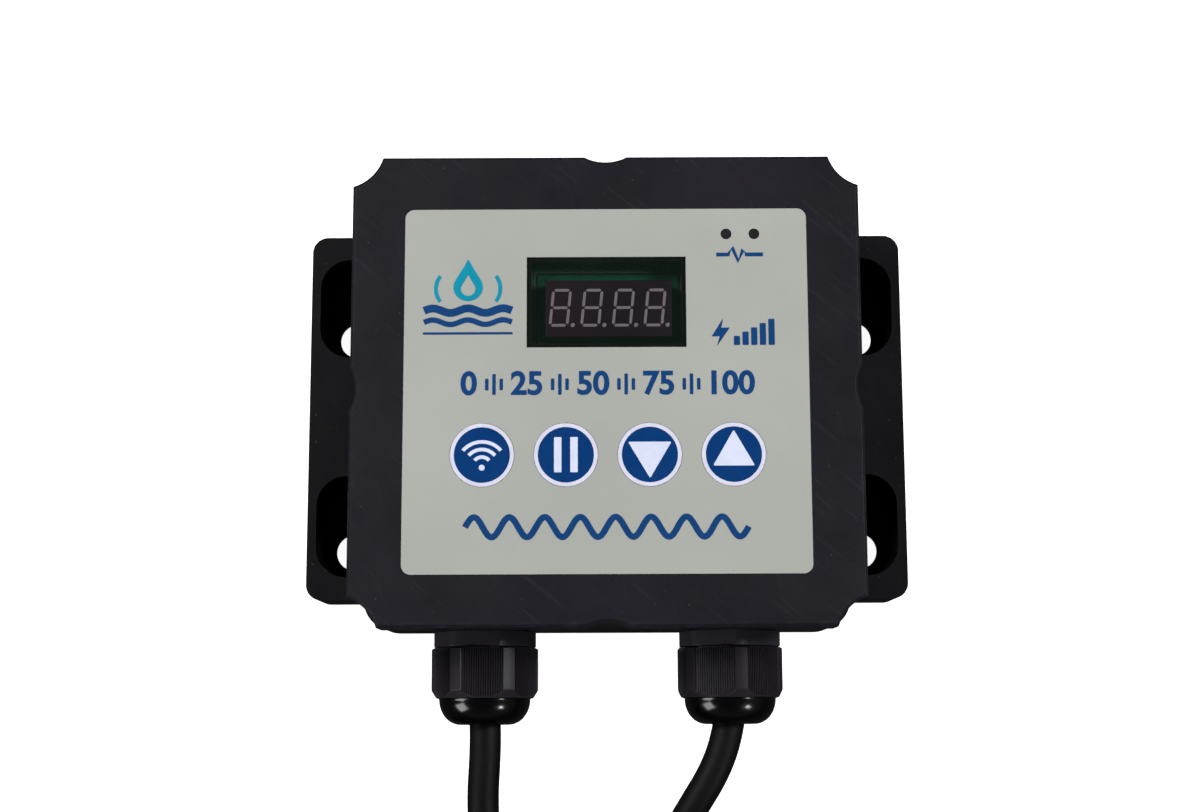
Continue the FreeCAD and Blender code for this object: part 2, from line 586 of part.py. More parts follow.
# ---------------------------------------------------------------- leads
# Routes in order from the gland. The leads leave the glands level and sag to the
# surface that the box lies on. The mains lead winds into a tied coil, and its tail
# leads to the plug. The short pump lead ends in its screwed connector.
MAINS_COIL = (-54.0, -150.0)
MAINS_ROUTE = [(-30.0, -50.0, 30.0), (-30.0, -80.0, 29.9), (-30.7, -98.0, 29.3),
               (-28.9, -113.0, 27.9), (-24.6, -126.5, 26.0), (-21.3, -139.0, 23.0),
               (-19.8, -151.0, 19.4)]
MAINS_TAIL = [(-17.8, -170.9, 3.9), (-24.0, -183.6, 4.9), (-32.0, -193.8, 7.6),
              (-41.8, -200.4, 9.4)]
PUMP_ROUTE = [(30.0, -50.0, 30.0), (30.0, -75.0, 30.0), (27.0, -88.0, 29.5),
              (19.8, -99.8, 27.2), (12.8, -112.0, 22.6), (9.2, -125.0, 16.2),
              (7.9, -139.0, 9.6), (8.9, -153.0, 5.0), (12.7, -166.0, 4.2),
              (18.6, -178.0, 4.8), (26.2, -189.2, 6.8), (34.6, -199.4, 9.6)]


def tube(points, radius, name):
    """A round tube along straight runs joined by the largest tangent arcs."""
    pts = [V(*p) for p in points]
    edges, start, radii = [], pts[0], []
    for a, b, c in zip(pts, pts[1:], pts[2:]):
        u, w = (b - a).normalize(), (c - b).normalize()
        turn = u.getAngle(w)
        reach = 0.45 * min((b - a).Length, (c - b).Length)
        bend = reach / math.tan(turn / 2)
        radii.append(round(bend, 1))
        into, out = b - u * reach, b + w * reach
        inward = (w - u).normalize()
        middle = b + inward * (math.hypot(reach, bend) - bend)
        edges.append(Part.LineSegment(start, into).toShape())
        edges.append(Part.Arc(into, middle, out).toShape())
        start = out
    edges.append(Part.LineSegment(start, pts[-1]).toShape())
    path = Part.Wire(edges)
    way = (pts[1] - pts[0]).normalize()
    ring = Part.Wire([Part.makeCircle(radius, pts[0], way)])
    solid = path.makePipeShell([ring], True, False)
    share = solid.Volume / (math.pi * radius ** 2 * path.Length)
    print(f"{name}: {path.Length:.1f} mm, bends {radii}, volume share {share:.4f}")
    return solid


def coil(label, x, y, turns_wide, turns_high):
    """The outer shape of a tied coil: a ring with a rounded oblong section."""
    r = S["cordSize"]
    wide, high = turns_wide * r, turns_high * 2 * r
    inner, outer = S["coilMiddle"] - wide, S["coilMiddle"] + wide
    blank = Part.makeCylinder(outer, high, V(x, y, 0)).cut(
        Part.makeCylinder(inner, high, V(x, y, 0)))
    rims = [e for e in blank.Edges if isinstance(e.Curve, Part.Circle)]
    shape_node(label, blank.makeFillet(0.9 * r, rims))
    return inner, outer, high


def tie(label, x, y, angle, inner, outer, high):
    """A flat strap round the coil's bundle."""
    t, wide = S["tieThick"], S["tieWide"]
    outside = Part.makeBox(outer - inner + 2 * t, wide, high + t, V(inner - t, -wide / 2, 0))
    inside = Part.makeBox(outer - inner, wide + 2, high, V(inner, -wide / 2 - 1, 0))
    strap = outside.cut(inside)
    strap.rotate(V(), V(0, 0, 1), angle)
    strap.translate(V(x, y, 0))
    shape_node(label, strap)


def end_of(route):
    """Where a route ends and which way it heads, as x, y, z and degrees."""
    (x0, y0, _), (x, y, z) = route[-2:]
    return x, y, z, math.degrees(math.atan2(y - y0, x - x0))


def aim(shape, x, y, z, degrees):
    """Turns a piece made along +X to its place on the surface."""
    shape = shape.copy()
    shape.rotate(V(), V(0, 0, 1), degrees)
    shape.translate(V(x, y, z))
    return shape


def leads():
    r = S["cordSize"]
    shape_node("mains_cord", tube(MAINS_ROUTE, r, "mains_cord"))
    shape_node("pump_cord", tube(PUMP_ROUTE, r, "pump_cord"))
    shape_node("mains_tail", tube(MAINS_TAIL, r, "mains_tail"))
    ring = coil("mains_coil", *MAINS_COIL, 2, 3)
    tie("mains_tie", *MAINS_COIL, 200, *ring)

    # earthed plug: tapered strain relief, moulded grip, flat front, three pins
    place, along = end_of(MAINS_TAIL), V(1, 0, 0)
    neck_at = S["plugRelief"]
    grip_at = neck_at + S["plugNeck"]
    face_at = grip_at + S["plugGrip"]
    wide, high = S["plugWide"], S["plugHigh"]
    relief = Part.makeCone(r + 0.9, r + 2.3, S["plugRelief"], V(), along)
    neck = Part.makeCone(r + 2.3, S["plugNeckSize"], S["plugNeck"], V(neck_at, 0, 0), along)
    grip = Part.makeBox(S["plugGrip"], wide, high, V(grip_at, -wide / 2, -high / 2))
    grip = grip.makeFillet(S["plugCorner"],
                           [e for e in grip.Edges if e.BoundBox.XLength > S["plugGrip"] / 2])
    shape_node("mains_plug", aim(relief.fuse([neck, grip]).removeSplitter(), *place))
    blades = [Part.makeBox(S["bladeLong"], S["bladeThick"], S["bladeWide"],
                           V(face_at, side * S["bladeApart"] - S["bladeThick"] / 2,
                             S["bladeLow"])) for side in (-1, 1)]
    earth = Part.makeCylinder(S["earthSize"], S["earthLong"], V(face_at, 0, S["earthUp"]),
                              along)
    shape_node("mains_pins", aim(Part.makeCompound(blades + [earth]), *place))

    # screw-locked waterproof connector: body, coupling ring, three pins
    place = end_of(PUMP_ROUTE)
    barrel_at = S["stemLong"]
    nose_at = barrel_at + S["barrelLong"]
    mouth = nose_at + S["noseLong"]
    floor = mouth - S["socketDeep"]
    body = Part.makeCone(r + 0.8, r + 2.1, S["stemLong"], V(), along).fuse([
        Part.makeCylinder(S["barrelSize"], S["barrelLong"], V(barrel_at, 0, 0), along),
        Part.makeCylinder(S["noseSize"], S["noseLong"], V(nose_at, 0, 0), along)])
    body = body.cut(Part.makeCylinder(S["socketSize"], S["noseLong"], V(floor, 0, 0), along))
    shape_node("pump_connector", aim(body.removeSplitter(), *place))
    ring_at = nose_at + 0.5
    ring = Part.makeCylinder(S["ringSize"], S["ringLong"], V(ring_at, 0, 0), along)
    for bore, begin in ((S["noseSize"] + S["ringSlip"], nose_at),
                        (S["ringBore"], ring_at + S["ringWeb"])):
        ring = ring.cut(Part.makeCylinder(bore, S["noseLong"] * 2, V(begin, 0, 0), along))
    shape_node("connector_ring", aim(ring, *place))
    pins = []
    for third in range(3):
        angle = math.pi / 2 + third * 2 * math.pi / 3
        foot = V(floor, S["contactRing"] * math.cos(angle), S["contactRing"] * math.sin(angle))
        pins.append(Part.makeCylinder(S["contactSize"], S["contactLong"], foot, along))
    shape_node("pump_pins", aim(Part.makeCompound(pins), *place))
    print("connector axis", place, "plug axis", end_of(MAINS_TAIL))


front_cover()
rear_housing()
front_panel()
power_section()
gland("Left", -1, 4, 0)
gland("Right", 1, 19, 21)
leads()

# ---------------------------------------------------------------- check and write
doc.recompute()
for obj in doc.Objects:
    if "Invalid" in obj.State or "Error" in obj.State:
        raise RuntimeError(f"{obj.Label} failed: {obj.State}")
for obj in parts:
    if obj.Shape.isNull() or not obj.Shape.isValid() or obj.Shape.Volume <= 0:
        raise RuntimeError(f"{obj.Label} has no sound shape")

os.makedirs("parts", exist_ok=True)
for old in os.listdir("parts"):
    os.remove(os.path.join("parts", old))
for obj in parts:
    obj.Shape.exportStep(f"parts/{obj.Label}.step")
    b = obj.Shape.BoundBox
    print(f"{obj.Label:22s} solids {len(obj.Shape.Solids):2d} volume {obj.Shape.Volume:10.1f}"
          f"  x {b.XMin:7.1f} {b.XMax:7.1f}  y {b.YMin:7.1f} {b.YMax:7.1f}"
          f"  z {b.ZMin:6.1f} {b.ZMax:6.1f}")
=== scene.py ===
import math

import bmesh
import bpy
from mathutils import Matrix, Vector


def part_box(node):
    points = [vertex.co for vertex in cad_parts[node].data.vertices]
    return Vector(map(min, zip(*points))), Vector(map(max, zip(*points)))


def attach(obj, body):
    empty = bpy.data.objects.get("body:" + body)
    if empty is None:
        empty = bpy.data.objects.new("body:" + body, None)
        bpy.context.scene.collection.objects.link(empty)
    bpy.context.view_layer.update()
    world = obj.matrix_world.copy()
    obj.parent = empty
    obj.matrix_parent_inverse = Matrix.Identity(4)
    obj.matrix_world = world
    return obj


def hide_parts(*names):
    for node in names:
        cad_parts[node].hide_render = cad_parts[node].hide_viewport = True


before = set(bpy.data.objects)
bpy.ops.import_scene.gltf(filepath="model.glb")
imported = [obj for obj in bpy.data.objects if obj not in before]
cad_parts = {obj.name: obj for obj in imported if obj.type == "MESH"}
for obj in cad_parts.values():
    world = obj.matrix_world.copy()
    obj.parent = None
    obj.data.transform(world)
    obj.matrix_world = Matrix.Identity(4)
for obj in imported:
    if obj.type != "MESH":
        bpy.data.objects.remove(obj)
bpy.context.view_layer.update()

mm = 0.001
scene = bpy.context.scene


# small tools

meshing = {"weld": 0.000002, "flat": 0.6, "edgeFrom": 30, "smooth": 38, "smoothTurned": 35,
           "spinWeld": 0.000004}


def deselect():
    if bpy.context.object and bpy.context.object.mode != "OBJECT":
        bpy.ops.object.mode_set(mode="OBJECT")
    bpy.ops.object.select_all(action="DESELECT")


def only(obj):
    deselect()
    obj.select_set(True)
    bpy.context.view_layer.objects.active = obj
    return obj


def settle(obj):
    only(obj)
    bpy.ops.object.transform_apply(location=True, rotation=True, scale=True)
    return obj


def middle(node):
    low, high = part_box(node)
    return (low + high) / 2


def finish(made, name, body="root", skins=(), instead=()):
    made.name = name
    made.data.name = name
    if skins:
        made.data.materials.clear()
        for coat in skins:
            made.data.materials.append(coat)
    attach(made, body)
    if instead:
        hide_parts(*instead)
    return made


def reskin(node, coat):
    bpy.data.objects[node].data.materials.clear()
    bpy.data.objects[node].data.materials.append(coat)


def applyAll(made):
    only(made)
    for step in list(made.modifiers):
        bpy.ops.object.modifier_apply(modifier=step.name)
    return made


def spun(name, corners, axis, steps):
    # a closed outline spun once round an axis through the origin
    outline = bpy.data.meshes.new(name)
    outline.from_pydata([tuple(v * mm for v in corner) for corner in corners],
                        [(i, (i + 1) % len(corners)) for i in range(len(corners))], [])
    made = bpy.data.objects.new(name, outline)
    scene.collection.objects.link(made)
    only(made)
    bpy.ops.object.mode_set(mode="EDIT")
    bpy.ops.mesh.select_all(action="SELECT")
    bpy.ops.mesh.spin(steps=steps, angle=2 * math.pi, center=(0, 0, 0), axis=axis)
    bpy.ops.mesh.select_all(action="SELECT")
    bpy.ops.mesh.remove_doubles(threshold=meshing["spinWeld"])
    bpy.ops.mesh.normals_make_consistent(inside=False)
    bpy.ops.object.mode_set(mode="OBJECT")
    return made


def softened(node, name, width, skins, segments=2):
    # a copy of a node's mesh with its edges rounded, shown in the node's place
    source = bpy.data.objects[node]
    made = bpy.data.objects.new(name, source.data.copy())
    scene.collection.objects.link(made)
    only(made)
    bpy.ops.object.mode_set(mode="EDIT")
    bpy.ops.mesh.select_all(action="SELECT")
    bpy.ops.mesh.remove_doubles(threshold=meshing["weld"])
    bpy.ops.mesh.dissolve_limited(angle_limit=math.radians(meshing["flat"]))
    bpy.ops.object.mode_set(mode="OBJECT")
    edge = made.modifiers.new("edge", "BEVEL")
    edge.width = width * mm
    edge.segments = segments
    edge.limit_method = "ANGLE"
    edge.angle_limit = math.radians(meshing["edgeFrom"])
    edge.use_clamp_overlap = True
    applyAll(made)
    bpy.ops.object.shade_smooth_by_angle(angle=math.radians(meshing["smooth"]))
    even = made.modifiers.new("even", "WEIGHTED_NORMAL")
    even.mode = "FACE_AREA_WITH_ANGLE"
    even.keep_sharp = True
    applyAll(made)
    return finish(made, name, "root", skins, (node,))


# camera

camera = {
    "away": (-0.0005, -0.0775, 0.5008),
    "tilt": 9.40,
    "turn": 0.13,
    "roll": -0.20,
    "lens": 57.07,
    "sensor": 36,
    "near": 0.01,
}


def addCamera():
    bpy.ops.object.camera_add(location=camera["away"])
    eye = bpy.context.object
    eye.rotation_mode = "ZXY"
    eye.rotation_euler = [math.radians(camera[k]) for k in ("tilt", "turn", "roll")]
    eye.data.lens = camera["lens"]
    eye.data.sensor_width = camera["sensor"]
    eye.data.clip_start = camera["near"]
    scene.camera = eye
    print("camera in place")


addCamera()


# materials

def newMaterial(name):
    made = bpy.data.materials.new(name)
    made.use_nodes = True
    tree = made.node_tree
    return made, tree, tree.nodes["Principled BSDF"]


def wire(tree, source, target):
    tree.links.new(source, target)


def addNode(tree, kind, **settings):
    node = tree.nodes.new(kind)
    for setting, value in settings.items():
        if setting in node.inputs:
            node.inputs[setting].default_value = value
        else:
            setattr(node, setting, value)
    return node


def ramp(tree, source, stops):
    node = tree.nodes.new("ShaderNodeValToRGB")
    bars = node.color_ramp.elements
    while len(bars) < len(stops):
        bars.new(0.5)
    for bar, (place, colour) in zip(bars, stops):
        bar.position = place
        bar.color = (*colour, 1.0)
    wire(tree, source, node.inputs["Fac"])
    return node.outputs["Color"]


def objectPlace(tree, stretch=None, turn=0.0):
    place = tree.nodes.new("ShaderNodeTexCoord").outputs["Object"]
    if not stretch:
        return place
    turned = addNode(tree, "ShaderNodeMapping", Rotation=(0, 0, turn))
    wire(tree, place, turned.inputs["Vector"])
    mapping = addNode(tree, "ShaderNodeMapping", Scale=stretch)
    wire(tree, turned.outputs["Vector"], mapping.inputs["Vector"])
    return mapping.outputs["Vector"]


def noise(tree, scale, detail=3.0, rough=0.5, stretch=None, turn=0.0):
    grain = addNode(tree, "ShaderNodeTexNoise", Scale=scale, Detail=detail, Roughness=rough)
    wire(tree, objectPlace(tree, stretch, turn), grain.inputs["Vector"])
    return grain.outputs["Fac"]


def grey(v):
    return (v, v, v)


def times(colour, share):
    return tuple(share * c for c in colour)


def blendColour(tree, fac, first, second):
    mixer = addNode(tree, "ShaderNodeMix", data_type="RGBA", blend_type="MIX")
    wire(tree, fac, mixer.inputs[0])
    for socket, value in ((mixer.inputs[6], first), (mixer.inputs[7], second)):
        if isinstance(value, tuple):
            socket.default_value = (*value, 1.0)
        else:
            wire(tree, value, socket)
    return mixer.outputs[2]


def bumped(tree, shader, height, strength, distance):
    bump = addNode(tree, "ShaderNodeBump", Strength=strength, Distance=distance)
    wire(tree, height, bump.inputs["Height"])
    wire(tree, bump.outputs["Normal"], shader.inputs["Normal"])


def mouldedPlastic(name, dark, light, rough, grain=2600, bump=0.25, gloss=0.12):
    made, tree, shader = newMaterial(name)
    mottle = noise(tree, 38, 4, 0.6)
    wire(tree, ramp(tree, mottle, [(0.3, dark), (0.7, light)]), shader.inputs["Base Color"])
    patch = noise(tree, 90, 5, 0.65)
    wire(tree, ramp(tree, patch, [(0.3, grey(rough - 0.05)), (0.75, grey(rough + 0.05))]),
         shader.inputs["Roughness"])
    bumped(tree, shader, noise(tree, grain, 2), bump, 0.00006)
    shader.inputs["Specular IOR Level"].default_value = gloss
    return made


wear = {"scratch": 0.66, "dust": 0.765, "rub": 0.52, "rim": 0.9, "rimEnd": 0.25,
        "dustColour": (0.11, 0.105, 0.11)}


def edgeMask(tree, wide, tall):
    # white in a thin rim along a panel of this size, broken up by noise
    apart = tree.nodes.new("ShaderNodeSeparateXYZ")
    wire(tree, objectPlace(tree), apart.inputs["Vector"])
    sides = []
    for axis, half in (("X", wide / 2), ("Y", tall / 2)):
        far = addNode(tree, "ShaderNodeMath", operation="ABSOLUTE")
        wire(tree, apart.outputs[axis], far.inputs[0])
        sides.append(ramp(tree, far.outputs[0], [((half - wear["rim"]) * mm, grey(0.0)),
                                                 ((half - wear["rimEnd"]) * mm, grey(1.0))]))
    rim = blendColour(tree, sides[0], sides[1], grey(1.0))
    chips = ramp(tree, noise(tree, 150, 5, 0.7), [(wear["rub"], grey(0.0)),
                                                  (wear["rub"] + 0.14, grey(0.6))])
    return blendColour(tree, rim, grey(0.0), chips)


def handledPlastic(name, dark, light, rough, gloss=0.12, panelSize=None):
    # moulded plastic that has been handled: hairline scratches, specks of dust, rubbed edges
    made, tree, shader = newMaterial(name)
    base = ramp(tree, noise(tree, 26, 5, 0.62), [(0.3, dark), (0.72, light)])
    along = noise(tree, 60, 2, 0.4, stretch=(1.0, 26.0, 1.0), turn=0.7)
    across = noise(tree, 52, 2, 0.4, stretch=(30.0, 1.0, 1.0), turn=-0.25)
    start = wear["scratch"]
    scratch = ramp(tree, along, [(start, grey(0.0)), (start + 0.05, grey(0.16))])
    crossScratch = ramp(tree, across, [(start + 0.02, grey(0.0)), (start + 0.07, grey(0.12))])
    dust = ramp(tree, noise(tree, 1300, 1, 0.4), [(wear["dust"], grey(0.0)),
                                                  (wear["dust"] + 0.05, grey(0.35))])
    worn = blendColour(tree, scratch, base, times(light, 3.0))
    worn = blendColour(tree, crossScratch, worn, times(light, 2.6))
    worn = blendColour(tree, dust, worn, wear["dustColour"])
    if panelSize:
        worn = blendColour(tree, edgeMask(tree, *panelSize), worn, times(light, 4.0))
    wire(tree, worn, shader.inputs["Base Color"])
    patch = ramp(tree, noise(tree, 70, 6, 0.7), [(0.28, grey(rough - 0.07)),
                                                 (0.74, grey(rough + 0.09))])
    wire(tree, blendColour(tree, scratch, patch, grey(rough + 0.18)), shader.inputs["Roughness"])
    bumped(tree, shader, noise(tree, 1900, 3, 0.6), 0.30, 0.00007)
    shader.inputs["Specular IOR Level"].default_value = gloss
    return made


def cordJacket():
    made, tree, shader = newMaterial("leadJacket")
    tone = noise(tree, 60, 4)
    wire(tree, ramp(tree, tone, [(0.3, (0.0022, 0.0019, 0.0020)), (0.7, (0.0042, 0.0036, 0.0037))]),
         shader.inputs["Base Color"])
    dull = noise(tree, 240, 3)
    wire(tree, ramp(tree, dull, [(0.3, grey(0.46)), (0.75, grey(0.6))]), shader.inputs["Roughness"])
    bumped(tree, shader, noise(tree, 1800, 2), 0.12, 0.00005)
    shader.inputs["Specular IOR Level"].default_value = 0.10
    return made


def printedFilm():
    # grey-green polyester film with a fine velvet texture, faintly soiled
    made, tree, shader = newMaterial("printedFilm")
    cloud = ramp(tree, noise(tree, 22, 4, 0.6), [(0.3, (0.294, 0.302, 0.280)),
                                                 (0.7, (0.322, 0.328, 0.304))])
    soil = ramp(tree, noise(tree, 900, 2, 0.5), [(0.70, grey(0.0)), (0.78, grey(0.25))])
    wire(tree, blendColour(tree, soil, cloud, (0.21, 0.21, 0.19)), shader.inputs["Base Color"])
    wire(tree, ramp(tree, noise(tree, 120, 4), [(0.3, grey(0.44)), (0.7, grey(0.54))]),
         shader.inputs["Roughness"])
    bumped(tree, shader, noise(tree, 3400, 2), 0.22, 0.00003)
    shader.inputs["Specular IOR Level"].default_value = 0.14
    return made


def ink(name, colour, rough=0.42):
    made, tree, shader = newMaterial(name)
    thin = tuple(c * 1.14 + 0.0008 for c in colour)
    wire(tree, ramp(tree, noise(tree, 260, 3, 0.6), [(0.35, colour), (0.8, thin)]),
         shader.inputs["Base Color"])
    wire(tree, ramp(tree, noise(tree, 160, 3), [(0.3, grey(rough - 0.04)), (0.7, grey(rough + 0.05))]),
         shader.inputs["Roughness"])
    bumped(tree, shader, noise(tree, 3400, 2), 0.12, 0.00003)
    shader.inputs["Specular IOR Level"].default_value = 0.12
    return made


def tintedWindow():
    made, tree, shader = newMaterial("tintedWindow")
    tint = ramp(tree, noise(tree, 50, 3), [(0.3, (0.004, 0.010, 0.006)), (0.7, (0.007, 0.015, 0.010))])
    wire(tree, tint, shader.inputs["Base Color"])
    shader.inputs["Roughness"].default_value = 0.28
    shader.inputs["Alpha"].default_value = 0.3
    shader.inputs["Specular IOR Level"].default_value = 0.15
    bumped(tree, shader, noise(tree, 90, 2), 0.05, 0.00003)
    return made


def solderMask():
    made, tree, shader = newMaterial("solderMask")
    traces = addNode(tree, "ShaderNodeTexBrick", Scale=260.0)
    traces.inputs["Color1"].default_value = (0.009, 0.115, 0.052, 1)
    traces.inputs["Color2"].default_value = (0.012, 0.150, 0.070, 1)
    traces.inputs["Mortar"].default_value = (0.026, 0.210, 0.105, 1)
    traces.inputs["Mortar Size"].default_value = 0.045
    wire(tree, objectPlace(tree, (0.7, 1.6, 1.0)), traces.inputs["Vector"])
    wire(tree, traces.outputs["Color"], shader.inputs["Base Color"])
    wire(tree, ramp(tree, noise(tree, 300, 3), [(0.3, grey(0.25)), (0.7, grey(0.4))]),
         shader.inputs["Roughness"])
    return made


def metal(name, colour, rough):
    made, tree, shader = newMaterial(name)
    brush = noise(tree, 500, 3, 0.5, stretch=(1.0, 14.0, 1.0))
    wire(tree, ramp(tree, brush, [(0.3, times(colour, 0.92)), (0.7, colour)]),
         shader.inputs["Base Color"])
    wire(tree, ramp(tree, brush, [(0.3, grey(rough - 0.03)), (0.7, grey(rough + 0.05))]),
         shader.inputs["Roughness"])
    shader.inputs["Metallic"].default_value = 1.0
    return made


skin = {
    "cover": handledPlastic("coverPlastic", (0.0078, 0.0072, 0.0102), (0.0128, 0.0118, 0.0162), 0.42,
                            panelSize=(121.0, 112.4)),
    "housing": handledPlastic("housingPlastic", (0.0032, 0.0028, 0.0036), (0.0064, 0.0055, 0.0070),
                              0.44, 0.10),
    "nylon": mouldedPlastic("glandNylon", (0.0115, 0.0100, 0.0130), (0.0165, 0.0145, 0.0185), 0.40,
                            1500, 0.2, 0.13),
    # gland bodies: a lighter copy of the gland nylon, painted light that makes up for the shade the
    # cover throws on them
    "body": mouldedPlastic("glandBodyNylonPaintedLight", (0.022, 0.020, 0.026), (0.032, 0.029, 0.037), 0.36,
                           1500, 0.2, 0.2),
    "dome": mouldedPlastic("polishedNylon", (0.0005, 0.0004, 0.0007), (0.0010, 0.0008, 0.0012), 0.17,
                           900, 0.03, 0.40),
    "rubber": mouldedPlastic("sealRubber", (0.010, 0.010, 0.010), (0.016, 0.016, 0.016), 0.62),
    "film": printedFilm(),
    "ring": ink("keyRing", (0.50, 0.50, 0.60)),
    "blue": ink("keyBlue", (0.0008, 0.028, 0.122), 0.36),
    "navy": ink("printNavy", (0.003, 0.036, 0.130)),
    "teal": ink("printTeal", (0.002, 0.200, 0.290)),
    "pale": ink("iconPale", (0.50, 0.53, 0.66)),
    "window": tintedWindow(),
    "lens": ink("statusLens", (0.013, 0.012, 0.013), 0.25),
    "face": mouldedPlastic("displayFace", (0.024, 0.008, 0.020), (0.040, 0.013, 0.034), 0.40,
                           1500, 0.1),
    "segment": ink("unlitSegment", (0.45, 0.36, 0.40), 0.4),
    "board": solderMask(),
    "rail": ink("maskedRail", (0.014, 0.180, 0.085), 0.3),
    "tinned": ink("tinnedRail", (0.240, 0.170, 0.165), 0.4),
    "steel": metal("zincSteel", (0.52, 0.52, 0.54), 0.34),
    "brass": metal("pinBrass", (0.62, 0.47, 0.22), 0.26),
    "aluminium": metal("finAluminium", (0.62, 0.63, 0.65), 0.38),
    "shield": metal("tinnedShield", (0.60, 0.60, 0.60), 0.30),
    "terminal": mouldedPlastic("terminalGreen", (0.010, 0.120, 0.050), (0.020, 0.180, 0.080), 0.4),
    "glass": ink("fuseGlass", (0.45, 0.47, 0.46), 0.12),
    "ferrite": mouldedPlastic("ferriteGrey", (0.020, 0.020, 0.022), (0.045, 0.043, 0.045), 0.6),
    "sleeve": mouldedPlastic("capSleeve", (0.010, 0.012, 0.040), (0.016, 0.020, 0.060), 0.28),
    "chip": mouldedPlastic("chipEpoxy", (0.012, 0.012, 0.012), (0.020, 0.020, 0.020), 0.5),
    "switch": mouldedPlastic("switchBlack", (0.016, 0.016, 0.016), (0.025, 0.025, 0.025), 0.45),
    "led": ink("ledResin", (0.55, 0.55, 0.50), 0.15),
    "ribbon": mouldedPlastic("ribbonGrey", (0.20, 0.20, 0.21), (0.29, 0.29, 0.30), 0.5),
    "plug": mouldedPlastic("plugVinyl", (0.0090, 0.0085, 0.0090), (0.0150, 0.0140, 0.0150), 0.46,
                           1700, 0.3),
    "jacket": cordJacket(),
}
keptNodes = {
    "rubber": ["cover_gasket", "gland_washer_left", "gland_washer_right", "gland_seal_left",
               "gland_seal_right"],
    "steel": ["cover_screws", "control_board_screws", "power_board_screws"],
    "nylon": ["gland_locknut_left", "gland_locknut_right", "gland_claw_left", "gland_claw_right"],
    "board": ["control_board", "power_board"], "shield": ["wifi_module"],
    "terminal": ["mains_terminal", "output_terminal"], "glass": ["fuse"],
    "brass": ["fuse_clips", "pump_pins"], "ferrite": ["line_choke", "transformer"],
    "sleeve": ["bulk_capacitors"], "chip": ["rectifier", "drive_module"],
    "aluminium": ["heat_sink"], "ribbon": ["board_link"], "led": ["status_leds"],
    "switch": ["key_switches", "plunger_wifi", "plunger_pause", "plunger_down", "plunger_up"],
    "window": ["display_window"], "lens": ["status_lenses"], "film": ["label_overlay"],
}
for kind, names in keptNodes.items():
    for name in names:
        reskin(name, skin[kind])
print("materials mixed")


# leads: real length, wound the way they are put away

lead = {"size": 7.7, "ring": 38.0, "slack": 0.35, "sway": 0.37, "lift": 0.02}
mainsRoute = [(-30.0, -50.0, 30.0), (-30.0, -74.0, 30.0), (-29.7, -84.0, 30.0), (-30.6, -98.0, 29.3),
              (-28.9, -113.0, 27.9), (-24.6, -126.5, 26.0), (-21.3, -139.0, 23.0),
              (-19.8, -151.0, 19.4)]
mainsTail = [(-17.8, -170.9, 3.9), (-24.0, -183.6, 4.9), (-32.0, -193.8, 7.6),
             (-41.8, -200.4, 9.4)]
pumpRoute = [(30.0, -50.0, 30.0), (30.0, -69.0, 30.0), (30.0, -77.5, 30.0), (26.9, -88.5, 29.5),
             (19.8, -99.8, 27.2), (12.8, -112.0, 22.6), (9.2, -125.0, 16.2),
             (7.9, -139.0, 9.6), (8.9, -153.0, 5.0), (12.7, -166.0, 4.2),
             (18.6, -178.0, 4.8), (26.2, -189.2, 6.8), (34.6, -199.4, 9.6)]
row = lead["size"] / 2
mainsCoil = {"middle": (-54.0, -150.0), "start": 0, "end": -1830, "layers": [
    (0, lead["ring"] - row, 5), (-50, lead["ring"] + row, 5), (-390, lead["ring"] + row, 3),
    (-750, lead["ring"] - row, 3), (-1110, lead["ring"] - row, 1), (-1470, lead["ring"] + row, 1)]}


def coilTurns(coil, step=25, shift=95):
    # points round a coil; each layer starts at its own angle and eases in from the last
    x, y = coil["middle"]
    way = 1 if coil["end"] > coil["start"] else -1
    sweep = abs(coil["end"] - coil["start"])
    count = int(sweep / step)
    points = []
    for i in range(1, count + 1):
        angle = coil["start"] + way * i * sweep / (count + 1)
        radius, rows = coil["layers"][0][1:]
        for begin, toRadius, toRows in coil["layers"][1:]:
            share = min(1.0, max(0.0, way * (angle - begin) / shift + 0.5))
            ease = share * share * (3 - 2 * share)
            radius += (toRadius - radius) * ease
            rows += (toRows - rows) * ease
        a = math.radians(angle)
        radius += lead["slack"] * math.sin(a * lead["sway"] + 1.0)
        points.append((x + radius * math.cos(a), y + radius * math.sin(a),
                       rows * row + lead["lift"]))
    return points


def addLead(name, points, nodes):
    deselect()
    bpy.ops.curve.primitive_nurbs_path_add()
    made = bpy.context.object
    made.data.splines.clear()
    line = made.data.splines.new("NURBS")
    line.points.add(len(points) - 1)
    for point, place in zip(line.points, points):
        point.co = (*(v * mm for v in place), 1.0)
    line.order_u = 3
    line.use_endpoint_u = True
    line.resolution_u = 6
    made.data.dimensions = "3D"
    made.data.bevel_depth = lead["size"] / 2 * mm
    made.data.bevel_resolution = 6
    made.data.use_fill_caps = True
    made.location = (0, 0, 0)
    return finish(made, name, "root", [skin["jacket"]], nodes)


mainsLead = addLead("mains_lead", mainsRoute + coilTurns(mainsCoil) + mainsTail,
                    ("mains_cord", "mains_coil", "mains_tail"))
pumpLead = addLead("pump_lead", pumpRoute, ("pump_cord",))
print("leads laid")


# box: cover, housing and gland bodies, with their moulded edges

softened("front_cover", "front_cover_moulded", 0.42, [skin["cover"]],
         segments=3)
softened("rear_housing", "rear_housing_moulded", 0.5, [skin["housing"]])
# the gland bodies take the lighter nylon of painted light
for side in ("left", "right"):
    softened(f"gland_body_{side}", f"gland_body_{side}_moulded", 0.28, [skin["body"]])
print("box parts softened")


# gland nuts: ribbed hexagon running into a polished dome

